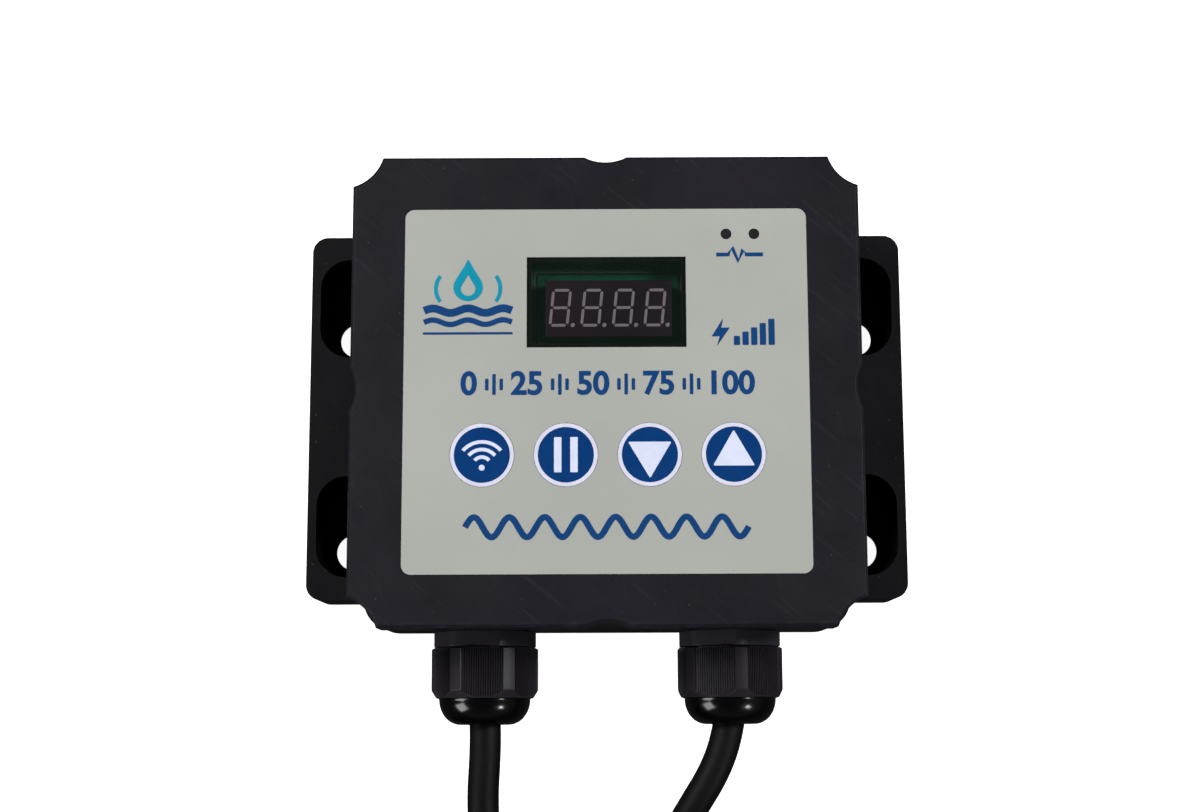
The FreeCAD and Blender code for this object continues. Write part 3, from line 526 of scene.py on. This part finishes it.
nut = {
    "flat": 12.0, "half": 6.93, "corner": 13.05,   # hexagon, with its corners cut
    "rearEdge": 0.6, "rearBevel": 0.35, "skirtLong": 12.3, "skirtRows": (1.5, 4.0, 6.5, 8.6),
    "ribs": 17, "ribDeep": 0.28, "ribFrom": 0.3, "ribTo": 11.6, "band": 4.9, "bandEdges": (5.2, 6.1),
    "coneFrom": 10.1, "coneWide": 13.15, "coneFall": 0.62,   # cone that trims the front
    "coneRows": 15, "coneRowFrom": 9.6, "coneRowStep": 0.18,
    "domeWide": 11.35, "domeEnd": 5.9, "domeTip": 18.55, "domeRows": 14,
    "mouth": 4.85, "throat": 13.6, "seat": 7.4, "seatEnd": 11.4, "thread": 8.95, "threadEnd": 9.0,
}


def nutOutline():
    # radius against distance along the axis, from the rear face over the dome to the bore
    full, foot, tip = nut["corner"], nut["skirtLong"] + 0.1, nut["domeTip"]
    wide, end, mouth = nut["domeWide"] - 0.2, nut["domeEnd"], nut["mouth"]
    rows = [(0.0, nut["thread"]), (0.0, full - nut["rearEdge"]), (nut["rearBevel"], full)]
    rows += [(s, full) for s in nut["skirtRows"]]
    rows += [(nut["coneRowFrom"] + nut["coneRowStep"] * i, full) for i in range(nut["coneRows"])]
    rows += [(nut["skirtLong"], wide + 0.05), (foot, wide)]
    for i in range(1, nut["domeRows"] + 1):
        a = math.radians(90 * i / nut["domeRows"])
        rows.append((foot + (tip - foot) * math.sin(a), end + (wide - end) * math.cos(a)))
    rows += [(tip + 0.02, end - 1.0), (tip - 0.1, mouth + 0.5), (tip - 0.5, mouth + 0.12),
             (tip - 1.2, mouth), (nut["throat"], mouth), (nut["seatEnd"], nut["seat"]),
             (nut["threadEnd"], nut["seat"]), (nut["threadEnd"], nut["thread"])]
    return rows


def addNut(side, turn):
    # columns across one facet: the corner, a plain strip, the ribs, another plain strip
    node = f"gland_nut_{side}"
    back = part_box(node)[1].y
    near, far = nut["bandEdges"]
    cuts = nut["ribs"] * 4
    facet = [-nut["half"], -far, -near]
    facet += [nut["band"] * (2 * i / cuts - 1) for i in range(cuts + 1)] + [near, far]
    steps = 6 * len(facet)
    made = spun("nut", [(r, -s, 0) for s, r in nutOutline()], (0, 1, 0), steps)
    for v in made.data.vertices:
        radius = math.hypot(v.co.x, v.co.z) / mm
        along = -v.co.y / mm
        column = round((math.degrees(math.atan2(v.co.z, v.co.x)) % 360) / 360 * steps) % steps
        part, j = divmod(column, len(facet))
        a = math.radians(60 * part + turn + 30) + math.atan2(facet[j], nut["flat"])
        if radius > nut["domeWide"] and along <= nut["skirtLong"]:
            grooved = 3 <= j < len(facet) - 2 and (j - 3) % 4 in (0, 3)
            grooved = grooved and nut["ribFrom"] < along < nut["ribTo"]
            hexagon = math.hypot(facet[j], nut["flat"]) - (nut["ribDeep"] if grooved else 0.0)
            coneWide = nut["coneWide"] - max(0.0, along - nut["coneFrom"]) * nut["coneFall"]
            radius = min(hexagon, nut["corner"], coneWide, radius)
        v.co.x, v.co.z = radius * math.cos(a) * mm, radius * math.sin(a) * mm
    made.location = (middle(node).x, back, middle(node).z)
    settle(made)
    bpy.ops.object.shade_smooth_by_angle(angle=math.radians(32))
    finish(made, f"{node}_ribbed", f"nut_{side}", [skin["nylon"], skin["dome"]],
           (node,))
    domeStart = back / mm - nut["skirtLong"] + 0.1
    for face in made.data.polygons:
        face.material_index = 1 if face.center.y / mm < domeStart else 0


for side, turn in (("left", 0), ("right", 21)):
    addNut(side, turn)
print("gland nuts turned")


# printing on the film: flat shapes a hair above it

panel = {"down": -0.4, "skinThick": 0.03, "lift": 0.02}
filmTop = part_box("label_overlay")[1].z / mm


def disc(x, y, radius, steps=48):
    return [(x + radius * math.cos(2 * math.pi * i / steps),
             y + radius * math.sin(2 * math.pi * i / steps)) for i in range(steps)]


def arcBand(x, y, inner, outer, fromAngle, toAngle, steps=16):
    fan = [math.radians(fromAngle + (toAngle - fromAngle) * i / steps) for i in range(steps + 1)]
    return ([(x + outer * math.cos(a), y + outer * math.sin(a)) for a in fan]
            + [(x + inner * math.cos(a), y + inner * math.sin(a)) for a in reversed(fan)])


def bar(x, y, wide, tall, corner):
    # an upright block with rounded corners
    spots = []
    for cx, cy, first in ((1, 1, 0), (-1, 1, 90), (-1, -1, 180), (1, -1, 270)):
        for i in range(4):
            a = math.radians(first + 30 * i)
            spots.append((x + cx * (wide / 2 - corner) + corner * math.cos(a),
                          y + cy * (tall / 2 - corner) + corner * math.sin(a)))
    return spots


def roundedShape(corners, radius, steps=5):
    # a polygon with every corner turned into a short arc
    spots, count = [], len(corners)
    for i in range(count):
        before, here, after = (Vector(corners[(i + k) % count]) for k in (-1, 0, 1))
        into, out = (before - here).normalized(), (after - here).normalized()
        reach = radius / math.tan(into.angle(out) / 2)
        a, b = here + into * reach, here + out * reach
        for k in range(steps + 1):
            t = k / steps
            spots.append(tuple((1 - t) ** 2 * a + 2 * t * (1 - t) * here + t * t * b))
    return spots


def ribbon(points, wide):
    # a band of even width along a line of points
    left, right = [], []
    for i, here in enumerate(points):
        before, after = points[max(0, i - 1)], points[min(len(points) - 1, i + 1)]
        way = Vector((after[0] - before[0], after[1] - before[1])).normalized()
        left.append((here[0] - way.y * wide / 2, here[1] + way.x * wide / 2))
        right.append((here[0] + way.y * wide / 2, here[1] - way.x * wide / 2))
    return left + right[::-1]


def printed(name, loops, tint, body="root", lift=panel["lift"],
            thick=panel["skinThick"], place=(0, 0)):
    flat = bpy.data.curves.new(name, "CURVE")
    flat.dimensions = "2D"
    flat.fill_mode = "BOTH"
    flat.extrude = thick / 2 * mm
    for loop in loops:
        line = flat.splines.new("POLY")
        line.points.add(len(loop) - 1)
        for point, (x, y) in zip(line.points, loop):
            point.co = (x * mm, y * mm, 0, 1)
        line.use_cyclic_u = True
    made = bpy.data.objects.new(name, flat)
    scene.collection.objects.link(made)
    only(made)
    bpy.ops.object.convert(target="MESH")
    made = bpy.context.object
    made.location = (place[0] * mm, (place[1] + panel["down"]) * mm,
                     (filmTop + lift + thick / 2) * mm)
    settle(made)
    return finish(made, name, body, [tint])


scaleLine = {"y": 1.1, "size": 7.7, "wide": 68.6, "bold": 0.22, "tickPitch": 1.7, "tickWide": 0.8,
             "tickTall": (2.8, 5.0, 2.8), "words": ["0", "25", "50", "75", "100"]}
waveLine = {"y": -32.6, "wide": 66.0, "high": 2.35, "cycles": 8, "thick": 1.45}


def printScale():
    # numbers of a speed scale, with ticks between them
    numbers = []
    for word in scaleLine["words"]:
        deselect()
        bpy.ops.object.text_add(location=(0, 0, 0))
        made = bpy.context.object
        made.data.body = word
        made.data.size = scaleLine["size"] * mm
        made.data.offset = scaleLine["bold"] * mm
        made.data.extrude = panel["skinThick"] / 2 * mm
        made.data.align_x = "CENTER"
        made.data.align_y = "CENTER"
        bpy.ops.object.convert(target="MESH")
        numbers.append(bpy.context.object)
    widths = [made.dimensions.x / mm for made in numbers]
    gap = (scaleLine["wide"] - sum(widths)) / (len(widths) - 1)
    x, ticks = -scaleLine["wide"] / 2, []
    for i, (made, wide) in enumerate(zip(numbers, widths)):
        made.location = ((x + wide / 2) * mm, (scaleLine["y"] + panel["down"]) * mm,
                         (filmTop + panel["lift"] + panel["skinThick"] / 2) * mm)
        settle(made)
        finish(made, f"scale_number_{i}", "root", [skin["navy"]])
        x += wide + gap
        if i < len(widths) - 1:
            ticks += [bar(x - gap / 2 + scaleLine["tickPitch"] * (k - 1), scaleLine["y"],
                          scaleLine["tickWide"], tall, 0.25)
                      for k, tall in enumerate(scaleLine["tickTall"])]
    printed("scale_ticks", ticks, skin["navy"])


def waveAlong(wide, high, cycles, steps, x=0.0, y=0.0):
    # points along a level sine wave about x, y
    return [(x + wide * (i / steps - 0.5), y + high * math.sin(2 * math.pi * cycles * i / steps))
            for i in range(steps + 1)]


def printWave():
    cycles = waveLine["cycles"]
    line = waveAlong(waveLine["wide"], waveLine["high"], cycles, 24 * cycles, 0.0, waveLine["y"])
    printed("panel_wave", [ribbon(line, waveLine["thick"])], skin["navy"])


emblem = {"x": -32.7, "dropY": 24.6, "dropWide": 3.5, "dropTall": 3.4, "pinch": 0.72, "point": 3.3,
          "holeY": 24.2, "hole": 0.5, "arc": (4.6, 5.5), "arcOut": 2.6, "arcHalf": 38,
          "rippleWide": 20.8, "rippleHigh": 0.55, "rippleCycles": 2.5,
          "ripples": ((18.9, 1.9), (16.1, 1.3)), "rule": (13.4, 21.2, 0.55)}


def printEmblem():
    # a water drop over two ripples, a plain sign for water
    x = emblem["x"]
    drop = []
    for i in range(40):
        a = math.radians(-90 + 360 * i / 40)
        lean = max(0.0, math.sin(a)) ** 3
        drop.append((x + emblem["dropWide"] * math.cos(a) * (1 - emblem["pinch"] * lean),
                     emblem["dropY"] + emblem["dropTall"] * math.sin(a) + emblem["point"] * lean))
    hole = [(x + (px - x) * emblem["hole"], emblem["holeY"] + (py - emblem["dropY"]) * emblem["hole"])
            for px, py in drop]
    loops = [drop, hole]
    for side, facing in ((-1, 180), (1, 0)):
        loops.append(arcBand(x + side * emblem["arcOut"], emblem["holeY"], *emblem["arc"],
                             facing - emblem["arcHalf"], facing + emblem["arcHalf"]))
    printed("emblem_drop", loops, skin["teal"])
    ripples = [ribbon(waveAlong(emblem["rippleWide"], emblem["rippleHigh"], emblem["rippleCycles"],
                                48, x, y), thick)
               for y, thick in emblem["ripples"]]
    printed("emblem_ripples", ripples, skin["navy"])
    ruleY, ruleWide, ruleThick = emblem["rule"]
    printed("emblem_rule", [bar(x, ruleY, ruleWide, ruleThick, 0.1)], skin["navy"])


meter = {"bolt": [(-6.6, 0.7), (-3.1, 6.3), (-3.7, 3.4), (-1.1, 3.4), (-5.0, -2.2), (-4.2, 0.7)],
         "boltSize": 0.78, "boltX": 30.1, "boltY": 11.9,
         "bars": 5, "barX": 30.9, "barFoot": 10.35, "barPitch": 2.05, "barWide": 1.45,
         "barTall": 2.2, "barRise": 1.02,
         "pulse": [(26.3, 32.3), (29.2, 32.3), (30.1, 34.0), (31.5, 30.7), (32.6, 33.4), (33.3, 32.3),
                   (37.4, 32.3)], "pulseThick": 0.95}


def printMeter():
    # power sign: a lightning bolt and rising bars; then a pulse under the status lights
    loops = [[(meter["boltX"] + x * meter["boltSize"], meter["boltY"] + y * meter["boltSize"])
              for x, y in meter["bolt"]]]
    for i in range(meter["bars"]):
        tall = meter["barTall"] + i * meter["barRise"]
        loops.append(bar(meter["barX"] + meter["barPitch"] * i, meter["barFoot"] + tall / 2,
                         meter["barWide"], tall, 0.2))
    printed("meter_sign", loops, skin["navy"])
    printed("status_sign", [ribbon(meter["pulse"], meter["pulseThick"])], skin["navy"])


printScale()
printWave()
printEmblem()
printMeter()
print("film printed")


# keys: pale ring, blue disc and icon, all riding the key

key = {"disc": 6.55, "discLift": 0.005, "discThick": 0.03, "iconLift": 0.04, "iconThick": 0.025}
icons = {
    "wifi": [disc(0, -3.0, 0.7, 24)] + [arcBand(0, -2.7, r - 0.42, r + 0.42, 40, 140)
                                        for r in (2.2, 4.0, 5.8)],
    "pause": [bar(-1.9, 0, 1.75, 8.3, 0.15), bar(1.9, 0, 1.75, 8.3, 0.15)],
    "down": [roundedShape([(-5.1, 3.0), (0, -5.6), (5.1, 3.0)], 0.25)],
    "up": [roundedShape([(-4.9, -2.7), (4.9, -2.7), (0, 5.8)], 0.25)],
}
for name, icon in icons.items():
    node = f"key_{name}"
    where = middle(node) / mm
    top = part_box(node)[1].z / mm
    reskin(node, skin["ring"])
    place = (where.x, where.y - panel["down"])
    printed(f"{node}_disc", [disc(0, 0, key["disc"], 72)], skin["blue"], node,
            top - filmTop + key["discLift"], key["discThick"], place)
    printed(f"{node}_icon", icon, skin["pale"], node,
            top - filmTop + key["iconLift"], key["iconThick"], place)
print("keys printed")


# display: module with four slanted seven-segment digits

digits = {"count": 4, "pitch": 7.5, "firstX": -10.85, "y": 19.75, "wide": 4.05, "tall": 8.5,
          "line": 0.66, "gap": 0.45, "lean": 0.10, "dot": 0.5, "dotOut": 1.35, "dotUp": 0.05,
          "lift": 0.01, "thick": 0.04}
rails = {"middle": (0.5, 20.4), "rings": [
    # the dark ring is painted shade from the cover opening's edge, not a rail
    ("band", 33.6, 17.2, 1.0, "rail"), ("dark", 34.6, 18.2, 0.3, "chip"),
    ("pale", 35.6, 19.2, 0.3, "tinned")]}


def segment(x, y, long, thick, upright):
    h, w = long / 2, thick / 2
    shape = [(-h, 0), (-h + w, w), (h - w, w), (h, 0), (h - w, -w), (-h + w, -w)]
    if upright:
        shape = [(-b, a) for a, b in shape]
    return [(x + a, y + b) for a, b in shape]


def addDisplay():
    softened("display_module", "display_module_case", 0.25, [skin["face"]])
    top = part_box("display_module")[1].z / mm
    wide, half, line, gap = digits["wide"], digits["tall"] / 2, digits["line"], digits["gap"]
    strokes = [segment(0, y, wide - gap, line, False) for y in (-half, 0, half)]
    strokes += [segment(sx * wide / 2, sy * half / 2, half - gap, line, True)
                for sx in (-1, 1) for sy in (-1, 1)]
    strokes.append(disc(wide / 2 + digits["dotOut"], -half + digits["dotUp"], digits["dot"], 20))
    loops = []
    for i in range(digits["count"]):
        x0 = digits["firstX"] + digits["pitch"] * i
        loops += [[(x0 + x + digits["lean"] * y, digits["y"] + y) for x, y in stroke]
                  for stroke in strokes]
    printed("display_segments", loops, skin["segment"], "root",
            top - filmTop + digits["lift"], digits["thick"])
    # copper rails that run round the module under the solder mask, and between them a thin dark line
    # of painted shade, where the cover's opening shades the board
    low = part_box("control_board")[1].z / mm - filmTop + digits["lift"]
    x, y = rails["middle"]
    for name, wide, tall, thick, tint in rails["rings"]:
        printed(f"board_rail_{name}", [bar(x, y, wide, tall, 0.6),
                                       bar(x, y, wide - 2 * thick, tall - 2 * thick, 0.4)],
                skin[tint], "root", low, digits["thick"])


addDisplay()
print("display built")


# plug, connector and tie, laid where the leads end

def aim(made, route):
    (x0, y0, _), (x, y, z) = route[-2:]
    made.location = (x * mm, y * mm, z * mm)
    made.rotation_euler = (0, 0, math.atan2(y - y0, x - x0))
    return settle(made)


def turned(name, rows, steps=48):
    # a closed outline of (along, radius) spun about the X axis
    return spun(name, [(s, r, 0) for s, r in rows], (1, 0, 0), steps)


def reliefRows(first, last, long, grooves, deep):
    # tapered strain relief with ring grooves
    rows = [(0.0, lead["size"] / 2 + 0.05), (0.0, first)]
    pitch = long / (grooves + 0.6)
    for i in range(grooves):
        s = pitch * (i + 0.55)
        r = first + (last - first) * s / long
        end = s + pitch * 0.42
        rows += [(s, r), (s + 0.25, r - deep), (end, r - deep), (end + 0.25, r + 0.1)]
    rows.append((long, last))
    return rows


plug = {"relief": (4.6, 6.0, 20.0, 6, 0.7), "neck": [(22.4, 7.4), (25.4, 9.2), (25.4, 3.8)],
        "gripMiddle": 35, "grip": (20, 25, 18.8), "taper": (1, 0.84, 0.9), "edge": 2.6,
        "bars": 5, "barFrom": 29.5, "barPitch": 2.6, "barSize": 0.75, "barLong": 13,
        "barUp": 8.55, "barRise": 0.1, "barEnd": 0.5}
connector = {"relief": (4.5, 5.8, 14.0, 4, 0.6),
             "body": [(14.2, 7.8), (14.6, 8.2), (23.4, 8.2), (24.0, 7.6), (24.0, 6.6), (41.6, 6.6),
                      (42.0, 6.2), (42.0, 5.2), (34.0, 5.2), (34.0, 0.0)],
             "ring": [(24.5, 6.8), (24.5, 8.7), (25.1, 9.2), (39.9, 9.2), (40.5, 8.9), (40.5, 7.9),
                      (27.0, 7.9), (27.0, 6.8)],
             "ringSteps": 144, "knurlFrom": 9.1, "knurl": 0.93}


def rounded(made, width, segments):
    edge = made.modifiers.new("edge", "BEVEL")
    edge.width, edge.segments = width * mm, segments
    return applyAll(made)


def addGripBar(i, up):
    place = (plug["barFrom"] + plug["barPitch"] * i, 0, up * (plug["barUp"] + plug["barRise"] * i))
    bpy.ops.mesh.primitive_cylinder_add(vertices=20, radius=plug["barSize"] * mm,
                                        depth=plug["barLong"] * mm,
                                        location=[v * mm for v in place],
                                        rotation=(math.radians(90), 0, 0))
    made = rounded(bpy.context.object, plug["barEnd"], 3)
    return settle(made)


def addPlug():
    # relief and neck in one turning, then the grip as a shaped block with bars
    relief = turned("relief", reliefRows(*plug["relief"]) + plug["neck"])
    bpy.ops.mesh.primitive_cube_add(size=1, location=(plug["gripMiddle"] * mm, 0, 0))
    grip = bpy.context.object
    grip.scale = [v * mm for v in plug["grip"]]
    settle(grip)
    bpy.ops.object.mode_set(mode="EDIT")
    bpy.ops.mesh.select_all(action="DESELECT")
    work = bmesh.from_edit_mesh(grip.data)
    for face in work.faces:
        face.select = face.normal.x < -0.9
    bmesh.update_edit_mesh(grip.data)
    bpy.ops.transform.resize(value=plug["taper"])
    bpy.ops.object.mode_set(mode="OBJECT")
    rounded(grip, plug["edge"], 5)
    bars = [addGripBar(i, up) for i in range(plug["bars"]) for up in (-1, 1)]
    only(grip)
    for other in bars + [relief]:
        other.select_set(True)
    bpy.ops.object.join()
    bpy.ops.object.shade_smooth_by_angle(angle=math.radians(meshing["smoothTurned"]))
    aim(grip, mainsTail)
    finish(grip, "mains_plug_moulded", "root", [skin["plug"]], ("mains_plug",))


def addConnector():
    rows = reliefRows(*connector["relief"]) + connector["body"]
    rows[0] = (0.0, 0.0)
    body = turned("connector", rows)
    bpy.ops.object.shade_smooth_by_angle(angle=math.radians(meshing["smoothTurned"]))
    aim(body, pumpRoute)
    finish(body, "pump_connector_moulded", "root", [skin["plug"]], ("pump_connector",))
    ring = turned("ring", connector["ring"], connector["ringSteps"])
    for v in ring.data.vertices:
        turn = math.degrees(math.atan2(v.co.z, v.co.y)) % 360 / 360
        column = round(turn * connector["ringSteps"])
        if math.hypot(v.co.y, v.co.z) / mm > connector["knurlFrom"] and column % 6 in (0, 1):
            v.co.y *= connector["knurl"]
            v.co.z *= connector["knurl"]
    only(ring)
    bpy.ops.object.shade_smooth_by_angle(angle=math.radians(meshing["smoothTurned"]))
    aim(ring, pumpRoute)
    finish(ring, "connector_ring_knurled", "coupling_ring", [skin["plug"]],
           ("connector_ring",))


addPlug()
softened("mains_pins", "mains_pins_polished", 0.35, [skin["brass"]], segments=3)
addConnector()
softened("mains_tie", "mains_tie_strap", 0.3, [skin["switch"]])
print("plug and connector built")


# floor and light

studio = {
    "floorWide": 6.0, "floorDown": 0.0002, "wallTall": 6.0, "wallAway": 3.0, "floorGlow": 0.95,
    "room": 0.35,
    "sky": [(0.0, grey(0.10)), (0.25, grey(0.35)), (0.6, grey(0.25)), (0.85, grey(0.12))],
    "lamps": [   # name, place, size, power
        ("key", (-0.70, 0.36, 0.74), 0.40, 9.6), ("fill", (0.78, 0.14, 0.70), 0.25, 8.8),
        ("lowLeft", (-0.76, -0.48, 0.42), 0.40, 3.8), ("lowRight", (0.60, -0.54, 0.58), 0.12, 1.8)],
}


def addStage():
    deselect()
    bpy.ops.mesh.primitive_plane_add(size=studio["floorWide"], location=(0, 0, -studio["floorDown"]))
    ground = bpy.context.object
    ground.name = "floor"
    made, tree, shader = newMaterial("paleFloor")
    shader.inputs["Base Color"].default_value = (0.6, 0.6, 0.6, 1)
    shader.inputs["Roughness"].default_value = 0.9
    shader.inputs["Emission Color"].default_value = (1, 1, 1, 1)
    shader.inputs["Emission Strength"].default_value = studio["floorGlow"]
    ground.data.materials.append(made)
    bpy.ops.mesh.primitive_cylinder_add(vertices=96, radius=studio["wallAway"],
                                        depth=studio["wallTall"], end_fill_type="NOTHING")
    wall = bpy.context.object
    wall.name = "backdrop"
    wall.data.materials.append(made)
    for pale in (ground, wall):   # seen by the camera, left out of the reflections
        pale.visible_glossy = False
        pale.visible_diffuse = False
    wall.visible_shadow = False
    world = bpy.data.worlds.new("softRoom")
    world.use_nodes = True
    tree = world.node_tree
    heading = tree.nodes.new("ShaderNodeTexCoord").outputs["Generated"]
    apart = tree.nodes.new("ShaderNodeSeparateXYZ")
    wire(tree, heading, apart.inputs["Vector"])
    wire(tree, ramp(tree, apart.outputs["Z"], studio["sky"]), tree.nodes["Background"].inputs["Color"])
    tree.nodes["Background"].inputs["Strength"].default_value = studio["room"]
    scene.world = world
    for name, place, size, power in studio["lamps"]:
        bpy.ops.object.light_add(type="AREA", location=place)
        lamp = bpy.context.object
        lamp.name = name
        lamp.data.size = size
        lamp.data.energy = power
        lamp.rotation_euler = (-Vector(place)).to_track_quat("-Z", "Y").to_euler()
    scene.view_settings.view_transform = "Standard"


addStage()
print("floor and lamps set")
